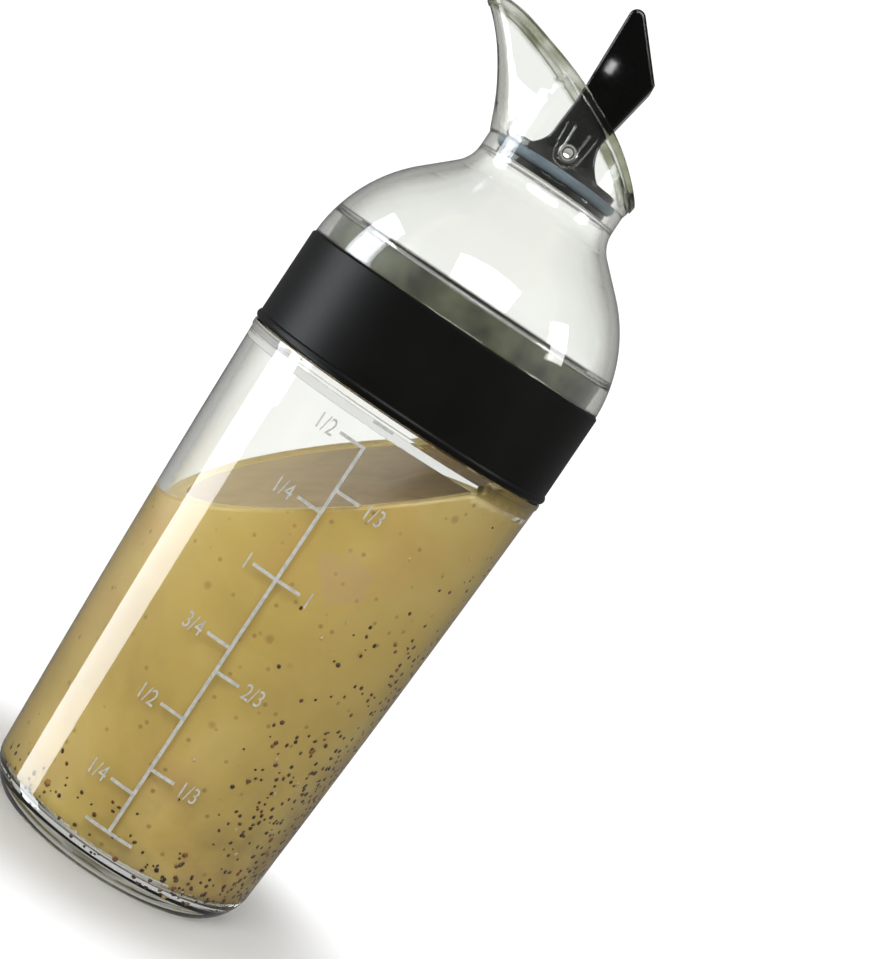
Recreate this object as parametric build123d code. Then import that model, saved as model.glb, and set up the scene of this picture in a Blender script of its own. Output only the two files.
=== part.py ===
from build123d import *
import math
import os

# Salad dressing shaker bottle, in millimetres, +Z up.
# The origin is on the bottle's axis, on the surface that it stands on.
# The pouring tip points along -X and the stopper's pin lies along Y.

# Container
body_top_radius = 36.9      # the lid, the neck and the foot take their radii from this one
body_height = 114.0
body_taper = 4.8            # how much narrower the side is at the bottom corner
body_bulge = 0.35           # the side is slightly rounded between corner and shoulder
base_corner_width = 4.1     # from the foot ring's edge out to the bottom corner
base_corner_height = 6.6
base_corner_bulge = 0.75    # how far the corner's arc stands out from its chord
foot_ring_width = 2.6
foot_recess = 1.3           # how far the floor's underside lies above the table
floor_thickness = 2.6
container_wall = 2.3
floor_fillet = 5.0
lip_proud = 0.25            # bead round the shoulder
lip_height = 1.3
neck_inset = 4.6            # how far the neck under the lid stands in from the side
neck_rise = 26.9            # neck above the shoulder
shoulder_slope_height = 1.6 # inside, nearly flat, so that the shoulder has an even wall

# Thread between container and lid
thread_lead = 6.0
thread_turns = 1.25
thread_depth = 1.1
thread_root_height = 2.4
thread_crest_height = 1.2
thread_bury = 0.4           # how deep a ridge is rooted in its wall
thread_start = 9.5          # above the shoulder
thread_slack = 0.2          # axial gap between the two ridges
lid_thread_shift = -45.0    # degrees, moves the lid's ridge ends round

# Lid: skirt, dome, neck and spout
lid_wall = 1.9
skirt_wall = 1.6
skirt_room = 1.5            # between neck and skirt, for the thread
lid_seat_gap = 0.3          # skirt above the container's shoulder
neck_in_dome = 4.05         # how far the container's mouth stands up into the dome
band_thickness = 1.6
band_gap = 0.05
band_flare = 0.3            # rolled lower edge
band_flare_height = 2.0
band_edge_round = 0.5
dome_overhang = 1.2         # how far the dome's foot stands out over the skirt
dome_rise = 35.05           # from its foot up to where the neck becomes upright
dome_cone_share = 0.35      # of its width that is a straight cone, the rest is rounded
dome_slope = 43.0           # degrees of the cone from level
neck_radius = 17.15
neck_fillet = 7.5
neck_height = 3.8           # upright stretch under the spout
throat_step = 0.5           # small ledge under the stopper
throat_step_height = 0.7
gasket_thickness = 1.6
gasket_gap = 0.1
gasket_sleeve_height = 5.4  # below the ring, where the gasket hugs the neck from outside
gasket_ledge_height = 1.2
gasket_ledge_reach = 2.2

# Spout
spout_height = 27.0
spout_reach = 20.0
spout_widening = 0.7
spout_front_radius = 6.4
rim_bead_proud = 0.35       # thick lip round the rim
rim_bead_height = 1.8
spout_first_share = 0.03    # the lowest section is this much less than round
# share of the height, of the reach, of the way from round to pointed
spout_section_shares = [
    (0.0, 0.010, 0.0),
    (0.19, 0.122, 0.30),
    (0.37, 0.252, 0.52),
    (0.54, 0.405, 0.72),
    (0.70, 0.585, 0.86),
    (0.85, 0.810, 0.95),
    (1.0, 1.060, 1.0),
]
# rim seen from the side, over the beak: share of the reach, share of the height
rim_beak_shares = [
    (0.79, 0.835),
    (0.76, 0.885),
    (0.66, 0.910),
    (0.46, 0.907),
    (0.02, 0.822),
]
# and over the neck: share of its width, from the front, and share of the height
rim_back_shares = [
    (0.245, 0.711),
    (0.501, 0.570),
    (0.752, 0.407),
    (0.875, 0.295),
    (1.003, 0.155),
    (1.085, 0.04),
]

# Pin and its sockets
pin_radius = 1.75
pin_sink = 0.05             # how deep the pin lies in the upper disc
pin_running_gap = 0.05
pin_end_gap = 0.2
pin_round = 0.3
socket_wall = 1.1
socket_rise = 5.5
socket_flare = 0.5
socket_depth = 2.1          # how far a socket stands in from the spout's wall
socket_bury = 0.8
snap_width = 3.0            # opening that the pin clicks through
snap_mouth_width = 3.9

# Stopper
retainer_lift = 0.2         # above the throat's ledge
retainer_inset = 1.45       # in from the throat
retainer_thickness = 1.8
retainer_gap = 0.1
seal_height = 2.4
seal_width = 5.85
seal_gap = 0.3              # between seal and throat
seal_top_round = 0.7
seal_bottom_round = 1.2     # clears the throat as the stopper starts to tilt
hub_gap = 0.1
disc_inset = 1.65           # in from the throat
disc_thickness = 1.6
disc_round = 0.4
spigot_radius = 5.0
lever_inset = 6.1           # the lever's sides, in from the upper disc's edge
lever_round = 0.8
lever_corner_round = 0.5
root_hollow = 1.1           # how deep the root's sides curve in
root_sink = 0.4             # how deep the root stands in the upper disc
root_front_inset = 3.2      # in from the upper disc's edge
root_back_inset = 4.0
# side view of the lever, x and height from the pin, drop from its tip
lever_tip_x = -4.3
lever_tip = 34.2
lever_front_x = -5.0
lever_front_bottom = 11.0
lever_front_lean = 0.9
lever_front_drop = 1.8
lever_pad_start_x = -2.6
lever_pad_start_drop = 0.6
lever_pad_end_x = 7.2
lever_pad_end_drop = 11.6
lever_heel_drop = 12.6
lever_waist_x = 4.6
lever_waist = 7.0
root_front_x = -5.5
root_front_z = 3.6

overrun = 5.0               # how far a cutting solid runs past what it cuts
match_tolerance = 0.01      # for finding an edge by its place

# Radii that follow
base_corner_radius = body_top_radius - body_taper
foot_radius = base_corner_radius - base_corner_width
mouth_wall_radius = body_top_radius - neck_inset
mouth_radius = mouth_wall_radius - container_wall
skirt_inner_radius = mouth_wall_radius + skirt_room
skirt_outer_radius = skirt_inner_radius + skirt_wall
dome_base_radius = skirt_outer_radius + dome_overhang
throat_radius = neck_radius - lid_wall
retainer_radius = throat_radius - retainer_inset
seal_radius = throat_radius - seal_gap
hub_radius = seal_radius - seal_width - hub_gap
disc_radius = throat_radius - disc_inset
pin_reach = throat_radius + spout_widening - pin_end_gap
socket_radius = pin_radius + pin_running_gap + socket_wall

# Heights that follow
shoulder_height = body_height + lip_height
neck_top = shoulder_height + neck_rise
skirt_bottom = shoulder_height + lid_seat_gap
dome_base_height = neck_top - neck_in_dome
band_height = dome_base_height - band_gap - skirt_bottom
gasket_bottom = neck_top + gasket_gap
gasket_top = gasket_bottom + gasket_thickness
ledge_bottom = gasket_top + gasket_gap
neck_base_height = dome_base_height + dome_rise
spout_base_height = neck_base_height + neck_height
retainer_bottom = neck_base_height + retainer_lift
seal_bottom = retainer_bottom + retainer_thickness + retainer_gap
seal_top = seal_bottom + seal_height
pin_height = seal_top + disc_thickness + pin_radius - pin_sink


def upright_cylinder(radius, height):
    """Cylinder on the Z axis that stands on the XY plane."""
    return Cylinder(radius, height, align=(Align.CENTER, Align.CENTER, Align.MIN))


def flat_ring(inner_radius, outer_radius, height):
    """Ring on the Z axis that stands on the XY plane."""
    return upright_cylinder(outer_radius, height) - upright_cylinder(inner_radius, height)


def revolved(outline):
    """Solid of revolution about Z from edges drawn in the XZ plane."""
    return revolve(make_face(Plane.XZ * outline), Axis.Z)


def thread_ridge(wall_radius, outward, base_height, turn_offset):
    """One helical ridge on a wall, pointing out or in."""
    path = Helix(thread_lead, thread_lead * thread_turns, wall_radius)
    root = wall_radius - outward * thread_bury
    crest = wall_radius + outward * thread_depth
    half_root = thread_root_height / 2
    half_crest = thread_crest_height / 2
    section = Polyline(
        (root, -half_root),
        (crest, -half_crest),
        (crest, half_crest),
        (root, half_root),
        close=True,
    )
    profile = make_face(Plane.XZ * section)
    ridge = sweep(profile, path=path, is_frenet=True)
    return Pos(0, 0, base_height) * Rot(0, 0, turn_offset) * ridge


def make_container():
    inner_base = base_corner_radius - container_wall
    floor_top = foot_recess + floor_thickness
    recess_edge = foot_radius - foot_ring_width
    shoulder_inner = shoulder_height - container_wall
    slope_bottom = shoulder_inner - shoulder_slope_height
    inner_top = body_top_radius - container_wall
    lip_radius = body_top_radius + lip_proud
    outline = Curve() + [
        Line((0, foot_recess), (recess_edge, foot_recess)),
        Line((recess_edge, foot_recess), (recess_edge, 0)),
        Line((recess_edge, 0), (foot_radius, 0)),
        SagittaArc((foot_radius, 0), (base_corner_radius, base_corner_height), -base_corner_bulge),
        SagittaArc((base_corner_radius, base_corner_height), (body_top_radius, body_height), -body_bulge),
        Polyline(
            (body_top_radius, body_height),
            (lip_radius, body_height),
            (lip_radius, shoulder_height),
            (mouth_wall_radius, shoulder_height),
            (mouth_wall_radius, neck_top),
            (mouth_radius, neck_top),
            (mouth_radius, shoulder_inner),
            (inner_top, slope_bottom),
            (inner_base, floor_top),
            (0, floor_top),
            (0, foot_recess),
        ),
    ]
    shell = revolved(outline)
    level_rings = shell.edges().filter_by(GeomType.CIRCLE).group_by(Axis.Z)
    floor_ring = [ring for ring in level_rings if abs(ring[0].center().Z - floor_top) < match_tolerance]
    shell = fillet(floor_ring[0], floor_fillet)
    ridge = thread_ridge(mouth_wall_radius, 1, shoulder_height + thread_start, 0)
    return shell + ridge


def dome_outline(inset):
    """Dome and neck line, from the dome's foot up to the spout, set in by a wall."""
    slope = math.radians(dome_slope)
    turn = math.pi / 2 - slope
    drop = Vector(-math.sin(slope), -math.cos(slope)) * inset
    neck_foot = Vector(neck_radius - inset, neck_base_height)
    fillet_end = Vector(
        neck_radius + neck_fillet * (1 - math.cos(turn)),
        neck_base_height - neck_fillet * math.sin(turn),
    )
    down = Vector(math.cos(slope), -math.sin(slope))
    run = dome_cone_share * (dome_base_radius - fillet_end.X) / math.cos(slope)
    cone_end = fillet_end + down * run
    fillet_end = fillet_end + drop
    cone_end = cone_end + drop
    dome_foot = Vector(dome_base_radius - inset, dome_base_height)
    return [
        TangentArc(cone_end, dome_foot, tangent=down),
        Line(fillet_end, cone_end),
        TangentArc(neck_foot, fillet_end, tangent=(0, -1)),
        Line(neck_foot, (neck_radius - inset, spout_base_height)),
    ]


def dome_form(inset, skirt_radius):
    """Solid dome on its skirt, from the skirt's bottom up to the spout, set in by a wall."""
    return revolved(Curve() + [
        *dome_outline(inset),
        Polyline(
            (neck_radius - inset, spout_base_height),
            (0, spout_base_height),
            (0, skirt_bottom),
            (skirt_radius, skirt_bottom),
            (skirt_radius, dome_base_height),
            (dome_base_radius - inset, dome_base_height),
        ),
    ])


def spout_section(height, back_radius, front_reach, front_radius):
    """Level section: a round back and a smaller round front joined by tangents."""
    offset = front_reach - front_radius
    lean = (back_radius - front_radius) / offset
    rise = math.sqrt(1 - lean * lean)
    back = Vector(-back_radius * lean, back_radius * rise)
    front = Vector(-offset - front_radius * lean, front_radius * rise)
    wire = Wire([
        ThreePointArc((back.X, -back.Y), (back_radius, 0), (back.X, back.Y)).edge(),
        Line((back.X, back.Y), (front.X, front.Y)).edge(),
        ThreePointArc((front.X, front.Y), (-front_reach, 0), (front.X, -front.Y)).edge(),
        Line((front.X, -front.Y), (back.X, -back.Y)).edge(),
    ])
    return Pos(0, 0, height) * Face(wire)


def spout_form(inset):
    """Outer or inner form of the spout, before its rim is cut."""
    sections = []
    for height_share, reach_share, point_share in spout_section_shares:
        height = spout_base_height + spout_height * height_share
        widened = spout_widening * min(1, point_share / spout_section_shares[1][2])
        back_radius = neck_radius + widened - inset
        front_radius = neck_radius * (1 - spout_first_share)
        front_radius = front_radius + (spout_front_radius - front_radius) * point_share - inset
        front_reach = neck_radius + spout_reach * reach_share - inset
        sections.append(spout_section(height, back_radius, front_reach, front_radius))
    return loft(sections)


def rim_cutter():
    """Everything above the slanted rim, seen from the side."""
    places = [(-neck_radius - spout_reach * share, up) for share, up in rim_beak_shares]
    places += [(-neck_radius + 2 * neck_radius * share, up) for share, up in rim_back_shares]
    points = [(x, spout_base_height + spout_height * up) for x, up in places]
    top = spout_base_height + spout_height + overrun
    front = -neck_radius - spout_reach * spout_section_shares[-1][1] - overrun
    back = points[-1][0] + overrun
    outline = Curve() + [
        Spline(*points),
        Polyline(
            points[-1],
            (back, points[-1][1]),
            (back, top),
            (front, top),
            (front, points[0][1]),
            points[0],
        ),
    ]
    return extrude(make_face(Plane.XZ * outline), neck_radius + overrun, both=True)


def pin_socket(side):
    """Clear U on the spout's wall, open at the top, that the pin clicks into."""
    inner_y = throat_radius + spout_widening - socket_depth
    length = socket_depth + socket_bury
    half_top = socket_radius + socket_flare
    u_shape = make_face(Curve() + [
        ThreePointArc((-socket_radius, 0), (0, -socket_radius), (socket_radius, 0)),
        Polyline(
            (socket_radius, 0),
            (half_top, socket_rise),
            (-half_top, socket_rise),
            (-socket_radius, 0),
        ),
    ])
    slot = make_face(Polyline(
        (-snap_width / 2, 0),
        (snap_width / 2, 0),
        (snap_mouth_width / 2, socket_rise + overrun),
        (-snap_mouth_width / 2, socket_rise + overrun),
        close=True,
    ))
    u_shape = u_shape - Circle(pin_radius + pin_running_gap) - slot
    block = extrude(Plane.XZ * u_shape, length)
    far_side = inner_y + length if side > 0 else -inner_y
    return Pos(0, far_side, pin_height) * block


def make_pour_top():
    ledge = Pos(0, 0, ledge_bottom) * flat_ring(
        mouth_wall_radius - gasket_ledge_reach, dome_base_radius, gasket_ledge_height
    )
    ledge = ledge & dome_form(lid_wall / 2, skirt_inner_radius)
    step = Pos(0, 0, neck_base_height - throat_step_height) * flat_ring(
        throat_radius - throat_step, throat_radius + lid_wall / 2, throat_step_height
    )
    dome = dome_form(0, skirt_outer_radius) - dome_form(lid_wall, skirt_inner_radius)
    dome = dome + ledge
    dome = dome + step
    above_rim = rim_cutter()
    bead = spout_form(-rim_bead_proud) & (Pos(0, 0, -rim_bead_height) * above_rim)
    spout = spout_form(0) + bead
    spout = spout - spout_form(lid_wall)
    spout = spout - above_rim
    ridge_height = shoulder_height + thread_start
    ridge_height = ridge_height - (thread_root_height + thread_crest_height) / 2 - thread_slack
    ridge_height = ridge_height + thread_lead * lid_thread_shift / 360
    ridge = thread_ridge(skirt_inner_radius, -1, ridge_height, lid_thread_shift)
    lid = dome + spout + ridge
    for side in (-1, 1):
        lid = lid + pin_socket(side)
    return lid


def make_grip_band():
    inner = skirt_outer_radius + band_gap
    outer = inner + band_thickness
    bottom = skirt_bottom
    top = skirt_bottom + band_height
    outline = Curve() + [
        Polyline(
            (inner, bottom),
            (outer + band_flare - band_edge_round, bottom),
        ),
        ThreePointArc(
            (outer + band_flare - band_edge_round, bottom),
            (outer + band_flare, bottom + band_edge_round),
            (outer, bottom + band_flare_height),
        ),
        Polyline(
            (outer, bottom + band_flare_height),
            (outer, top - band_edge_round),
            (outer - band_edge_round, top),
            (inner, top),
            (inner, bottom),
        ),
    ]
    return revolved(outline)


def make_rim_gasket():
    outer = skirt_inner_radius - gasket_gap
    ring = Pos(0, 0, gasket_bottom) * flat_ring(mouth_radius, outer, gasket_thickness)
    sleeve = Pos(0, 0, gasket_bottom - gasket_sleeve_height) * flat_ring(
        mouth_wall_radius + gasket_gap, outer, gasket_sleeve_height + gasket_thickness
    )
    gasket = ring + sleeve
    return gasket & dome_form(lid_wall + gasket_gap, skirt_inner_radius)


def make_pivot_pin():
    pin = Cylinder(pin_radius, 2 * pin_reach, rotation=(90, 0, 0))
    pin = fillet(pin.edges().filter_by(GeomType.CIRCLE), pin_round)
    return Pos(0, 0, pin_height) * pin


def make_stopper_lever():
    disc_bottom = seal_top - pin_height
    root_end = disc_bottom + disc_thickness - root_sink
    root_foot = disc_bottom + root_sink
    root_front_reach = disc_radius - root_front_inset
    root_back_reach = disc_radius - root_back_inset
    front_mid = (root_front_x - root_front_reach) / 2 + root_hollow
    back_mid = (lever_waist_x + root_back_reach) / 2 - root_hollow
    half_width = disc_radius - lever_inset
    front_top = lever_tip - lever_front_drop
    pad_start = lever_tip - lever_pad_start_drop
    side_view = Curve() + [
        Polyline(
            (-root_front_reach, root_end),
            (-root_front_reach, root_foot),
            (root_back_reach, root_foot),
            (root_back_reach, root_end),
        ),
        ThreePointArc(
            (root_back_reach, root_end),
            (back_mid, (root_end + lever_waist) / 2 - root_hollow),
            (lever_waist_x, lever_waist),
        ),
        Polyline(
            (lever_waist_x, lever_waist),
            (lever_pad_end_x, lever_tip - lever_heel_drop),
            (lever_pad_end_x, lever_tip - lever_pad_end_drop),
            (lever_pad_start_x, pad_start),
        ),
        ThreePointArc(
            (lever_pad_start_x, pad_start),
            (lever_tip_x, lever_tip),
            (lever_front_x - lever_front_lean, front_top),
        ),
        Polyline(
            (lever_front_x - lever_front_lean, front_top),
            (lever_front_x, lever_front_bottom),
            (root_front_x, root_front_z),
        ),
        ThreePointArc(
            (root_front_x, root_front_z),
            (front_mid, (root_end + root_front_z) / 2 - root_hollow),
            (-root_front_reach, root_end),
        ),
    ]
    side_face = make_face(side_view)
    side_face = fillet(side_face.vertices().filter_by(lambda v: v.Y > 0), lever_corner_round)
    blade = extrude(Plane.XZ * side_face, half_width, both=True)
    side_edges = blade.edges().filter_by(lambda e: abs(e.center().Y) > half_width - match_tolerance)
    blade = fillet(side_edges.filter_by(lambda e: e.center().Z > root_end), lever_round)
    disc = Pos(0, 0, disc_bottom) * upright_cylinder(disc_radius, disc_thickness)
    hub_length = seal_height + retainer_gap
    hub = Pos(0, 0, disc_bottom - hub_length) * upright_cylinder(hub_radius, hub_length)
    spigot_bottom = disc_bottom - hub_length - retainer_thickness
    spigot = Pos(0, 0, spigot_bottom) * upright_cylinder(spigot_radius, retainer_thickness)
    lever = disc + hub + spigot
    lever = lever + blade
    lever = lever - Cylinder(pin_radius, 2 * (disc_radius + overrun), rotation=(90, 0, 0))
    return Pos(0, 0, pin_height) * lever


def make_stopper_seal():
    ring = upright_cylinder(seal_radius, seal_height)
    rims = ring.edges().filter_by(GeomType.CIRCLE).sort_by(Axis.Z)
    ring = fillet(rims[-1], seal_top_round)
    rims = ring.edges().filter_by(GeomType.CIRCLE).sort_by(Axis.Z)
    ring = fillet(rims[0], seal_bottom_round)
    ring = ring - upright_cylinder(hub_radius + hub_gap, seal_height)
    return Pos(0, 0, seal_bottom) * ring


def make_seal_retainer():
    plate = upright_cylinder(retainer_radius, retainer_thickness)
    plate = fillet(plate.edges().filter_by(GeomType.CIRCLE), disc_round)
    plate = plate - upright_cylinder(spigot_radius, retainer_thickness)
    return Pos(0, 0, retainer_bottom) * plate


makers = {
    "container": make_container,
    "rim_gasket": make_rim_gasket,
    "pour_top": make_pour_top,
    "grip_band": make_grip_band,
    "pivot_pin": make_pivot_pin,
    "stopper_lever": make_stopper_lever,
    "stopper_seal": make_stopper_seal,
    "seal_retainer": make_seal_retainer,
}

os.makedirs("parts", exist_ok=True)
for node, maker in makers.items():
    shape = maker()
    export_step(shape, f"parts/{node}.step")
    print(node, len(shape.solids()), round(shape.volume, 1), "mm3")
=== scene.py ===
import bisect
import math
import random

import bmesh
import bpy
from mathutils import Matrix, Vector


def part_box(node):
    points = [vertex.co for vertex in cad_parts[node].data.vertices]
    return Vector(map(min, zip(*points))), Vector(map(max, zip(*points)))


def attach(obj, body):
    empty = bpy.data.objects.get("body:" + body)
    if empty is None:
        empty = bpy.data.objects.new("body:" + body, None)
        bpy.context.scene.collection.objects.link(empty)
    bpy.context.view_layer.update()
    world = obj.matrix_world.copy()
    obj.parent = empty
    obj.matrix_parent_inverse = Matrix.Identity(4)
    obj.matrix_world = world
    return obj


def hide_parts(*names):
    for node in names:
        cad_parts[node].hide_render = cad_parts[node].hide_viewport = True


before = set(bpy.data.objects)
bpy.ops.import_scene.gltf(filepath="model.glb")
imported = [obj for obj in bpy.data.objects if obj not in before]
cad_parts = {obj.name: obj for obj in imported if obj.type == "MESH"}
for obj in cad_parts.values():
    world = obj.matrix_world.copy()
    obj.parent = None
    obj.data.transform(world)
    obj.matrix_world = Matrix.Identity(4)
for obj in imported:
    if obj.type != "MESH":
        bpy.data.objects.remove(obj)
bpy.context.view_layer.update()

mm = 0.001
print("frame loaded, nodes:", ", ".join(sorted(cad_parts)))


# small helpers, shared by all the pieces

def toLinear(hexColour):
    channels = [int(hexColour[i:i + 2], 16) / 255 for i in (1, 3, 5)]
    linear = [c / 12.92 if c <= 0.04045 else ((c + 0.055) / 1.055) ** 2.4 for c in channels]
    return (*linear, 1.0)


def addNode(tree, kind, inputs=None, **settings):
    # inputs take a plain value or another node's output socket
    node = tree.nodes.new(kind)
    for name, value in settings.items():
        setattr(node, name, value)
    for name, value in (inputs or {}).items():
        if isinstance(value, bpy.types.NodeSocket):
            tree.links.new(value, node.inputs[name])
        else:
            node.inputs[name].default_value = value
    return node


def startMaterial(name):
    material = bpy.data.materials.new(name)
    material.use_nodes = True
    material.node_tree.nodes.clear()
    return material, material.node_tree


def endMaterial(tree, shader, volume=None):
    sockets = {"Surface": shader}
    if volume:
        sockets["Volume"] = volume
    addNode(tree, "ShaderNodeOutputMaterial", sockets)


def ramp(tree, factor, stops):
    # stops are (position, sRGB hex)
    node = addNode(tree, "ShaderNodeValToRGB", {"Fac": factor})
    while len(node.color_ramp.elements) < len(stops):
        node.color_ramp.elements.new(0.5)
    for element, (position, colour) in zip(node.color_ramp.elements, stops):
        element.position = position
        element.color = toLinear(colour)
    return node.outputs["Color"]


def roundNormals(mesh, sideways=0.09):
    # turned surfaces get normals that point straight away from the axis, so highlights run true
    normals = []
    for corner, shaded in zip(mesh.loops, mesh.corner_normals):
        normal = shaded.vector.copy()
        place = mesh.vertices[corner.vertex_index].co
        around = Vector((-place.y, place.x, 0)).normalized()
        if abs(normal.dot(around)) < sideways:
            normal = (normal - around * normal.dot(around)).normalized()
        normals.append(normal)
    mesh.normals_split_custom_set(normals)


def finishNode(nodeName, material):
    # a CAD node keeps its mesh and takes this finish
    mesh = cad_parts[nodeName].data
    mesh.materials.clear()
    mesh.materials.append(material)
    roundNormals(mesh)


def makePiece(name, bm, material, body, smooth=True):
    mesh = bpy.data.meshes.new(name)
    bm.to_mesh(mesh)
    bm.free()
    for face in mesh.polygons:
        face.use_smooth = smooth
    piece = bpy.data.objects.new(name, mesh)
    bpy.context.scene.collection.objects.link(piece)
    mesh.materials.append(material)
    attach(piece, body)
    return piece


# clear copolyester for the container and the lid
clearPlastic = {
    "tint": "#FDFEFC",
    "ior": 1.55,
    "roughness": 0.015,
    "absorbed": "#B4B29A",      # thick edges look olive grey
    "rimPaintedShade": "#888B71",       # painted shade: olive at the spout's rim
    "rimFrom": 2.9 * mm,        # below the rim, where that colour starts
    "rimTo": 1.7 * mm,
    "edgePaintedShade": "#BDBEB2",      # painted shade: grey olive where the wall turns away from the eye
    "spoutPaintedShade": "#7D806A",     # darker painted shade on the spout, whose wall is thicker
    "streakSize": 7.69231 * mm,
    "spoutFrom": 174 * mm,      # height where the spout's painted shade sets in
    "spoutTo": 184 * mm,
    "bodyDensity": 13.0,        # per metre; the thick foot stays pale
    "lidDensity": 32.0,
    "bodyEdge": 0.25 * mm,      # how round the moulded edges look
    "lidEdge": 0.6 * mm,
    "stepOpen": 0.8,            # share of the light that goes straight through the inner step
}


def clearCopolyester(name, density, edge):
    # polished moulded copolyester: colourless where thin, olive grey where seen edge-on, partly from
    # absorption in the wall and partly painted shade
    material, tree = startMaterial(name)
    facing = addNode(tree, "ShaderNodeLayerWeight", {"Blend": 0.5}).outputs["Facing"]
    place = addNode(tree, "ShaderNodeTexCoord").outputs["Object"]
    height = addNode(tree, "ShaderNodeSeparateXYZ", {"Vector": place})
    onSpout = addNode(tree, "ShaderNodeMapRange", {
        "Value": height.outputs["Z"],
        "From Min": clearPlastic["spoutFrom"], "From Max": clearPlastic["spoutTo"],
    })
    # painted shade where the wall turns away from the eye, darker on the spout
    side = addNode(tree, "ShaderNodeMix", {
        "Factor": onSpout.outputs["Result"],
        "A": toLinear(clearPlastic["edgePaintedShade"]), "B": toLinear(clearPlastic["spoutPaintedShade"]),
    }, data_type="RGBA")
    turnFrom = addNode(tree, "ShaderNodeMapRange", {
        "Value": onSpout.outputs["Result"], "To Min": 0.5, "To Max": 0.3,
    })
    sideways = addNode(tree, "ShaderNodeMapRange", {
        "Value": facing, "From Min": turnFrom.outputs["Result"], "From Max": 0.9,
    })
    sided = addNode(tree, "ShaderNodeMix", {
        "Factor": sideways.outputs["Result"],
        "A": toLinear(clearPlastic["tint"]), "B": side.outputs["Result"],
    }, data_type="RGBA")
    # painted shade at the spout's rim, streaky along the rim
    streaks = addNode(tree, "ShaderNodeTexNoise", {
        "Vector": place, "Scale": 1 / clearPlastic["streakSize"], "Detail": 2.0,
    })
    uneven = addNode(tree, "ShaderNodeMapRange", {
        "Value": streaks.outputs["Fac"], "From Min": 0.35, "From Max": 0.6, "To Min": 0.45, "To Max": 1.0,
    })
    belowRim = addNode(tree, "ShaderNodeAttribute", attribute_name="belowRim").outputs["Fac"]
    atRim = addNode(tree, "ShaderNodeMapRange", {
        "Value": belowRim, "From Min": -clearPlastic["rimFrom"], "From Max": -clearPlastic["rimTo"],
        "To Max": uneven.outputs["Result"],
    })
    tint = addNode(tree, "ShaderNodeMix", {
        "Factor": atRim.outputs["Result"],
        "A": sided.outputs["Result"], "B": toLinear(clearPlastic["rimPaintedShade"]),
    }, data_type="RGBA")
    # moulded edges are never sharp, and they are what shows of the sockets
    rounded = addNode(tree, "ShaderNodeBevel", {"Radius": edge}, samples=4)
    body = addNode(tree, "ShaderNodeBsdfPrincipled", {
        "Base Color": tint.outputs["Result"],
        "Roughness": clearPlastic["roughness"],
        "IOR": clearPlastic["ior"],
        "Normal": rounded.outputs["Normal"],
        "Transmission Weight": 1.0,
    })
    lampPath = addNode(tree, "ShaderNodeLightPath")
    straight = addNode(tree, "ShaderNodeBsdfTransparent")
    # the wetted step under the neck doesn't mirror the black band
    atStep = addNode(tree, "ShaderNodeAttribute", attribute_name="innerStep").outputs["Fac"]
    openShare = addNode(tree, "ShaderNodeMath", {
        0: atStep, 1: clearPlastic["stepOpen"], 2: lampPath.outputs["Is Shadow Ray"],
    }, operation="MULTIPLY_ADD", use_clamp=True)
    mix = addNode(tree, "ShaderNodeMixShader", {0: openShare.outputs[0]})
    tree.links.new(body.outputs[0], mix.inputs[1])
    tree.links.new(straight.outputs[0], mix.inputs[2])
    absorption = addNode(tree, "ShaderNodeVolumeAbsorption", {
        "Color": toLinear(clearPlastic["absorbed"]),
        "Density": density,
    })
    endMaterial(tree, mix.outputs[0], absorption.outputs[0])
    return material


def markRim(nodeName, lowest):
    # seen from the side, the rim is the upper outline of the spout; every corner keeps how far
    # it lies under that outline
    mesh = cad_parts[nodeName].data
    rim = []
    for x, z in sorted((v.co.x, v.co.z) for v in mesh.vertices if v.co.z > lowest):
        while len(rim) > 1 and (rim[-1][0] - rim[-2][0]) * (z - rim[-2][1]) >= (
                rim[-1][1] - rim[-2][1]) * (x - rim[-2][0]):
            rim.pop()
        rim.append((x, z))
    below = mesh.attributes.new("belowRim", "FLOAT", "POINT")
    for vertex in mesh.vertices:
        after = min(max(bisect.bisect_left(rim, (vertex.co.x,)), 1), len(rim) - 1)
        (firstX, firstZ), (secondX, secondZ) = rim[after - 1], rim[after]
        share = (vertex.co.x - firstX) / max(secondX - firstX, 0.01 * mm)
        height = firstZ + min(max(share, 0), 1) * (secondZ - firstZ)
        below.data[vertex.index].value = vertex.co.z - height


def markStep(nodeName, lowest, highest, widest):
    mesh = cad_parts[nodeName].data
    below = mesh.attributes.new("belowRim", "FLOAT", "POINT")
    for corner in below.data:
        corner.value = -1.0     # this node has no such rim
    step = mesh.attributes.new("innerStep", "FLOAT", "FACE")
    for face in mesh.polygons:
        within = lowest < face.center.z < highest and face.center.xy.length < widest
        step.data[face.index].value = 1.0 if within else 0.0


finishNode("container", clearCopolyester(
    "mouldedCopolyesterBody", clearPlastic["bodyDensity"], clearPlastic["bodyEdge"]))
markStep("container", lowest=111.4 * mm, highest=113 * mm, widest=34.6 * mm)
finishNode("pour_top", clearCopolyester(
    "mouldedCopolyesterLid", clearPlastic["lidDensity"], clearPlastic["lidEdge"]))
markRim("pour_top", lowest=179 * mm)
print("clear plastic done")

# black soft grip band
gripFinish = {
    "colour": "#090907",
    "worn": "#11110E",
    "roughness": 0.42,
    "gloss": 0.16,
    "grainSize": 0.35 * mm,     # moulded fine grain
    "grainDepth": 0.02 * mm,
    "cloudSize": 16.6667 * mm,  # slow change of shade
}


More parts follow.
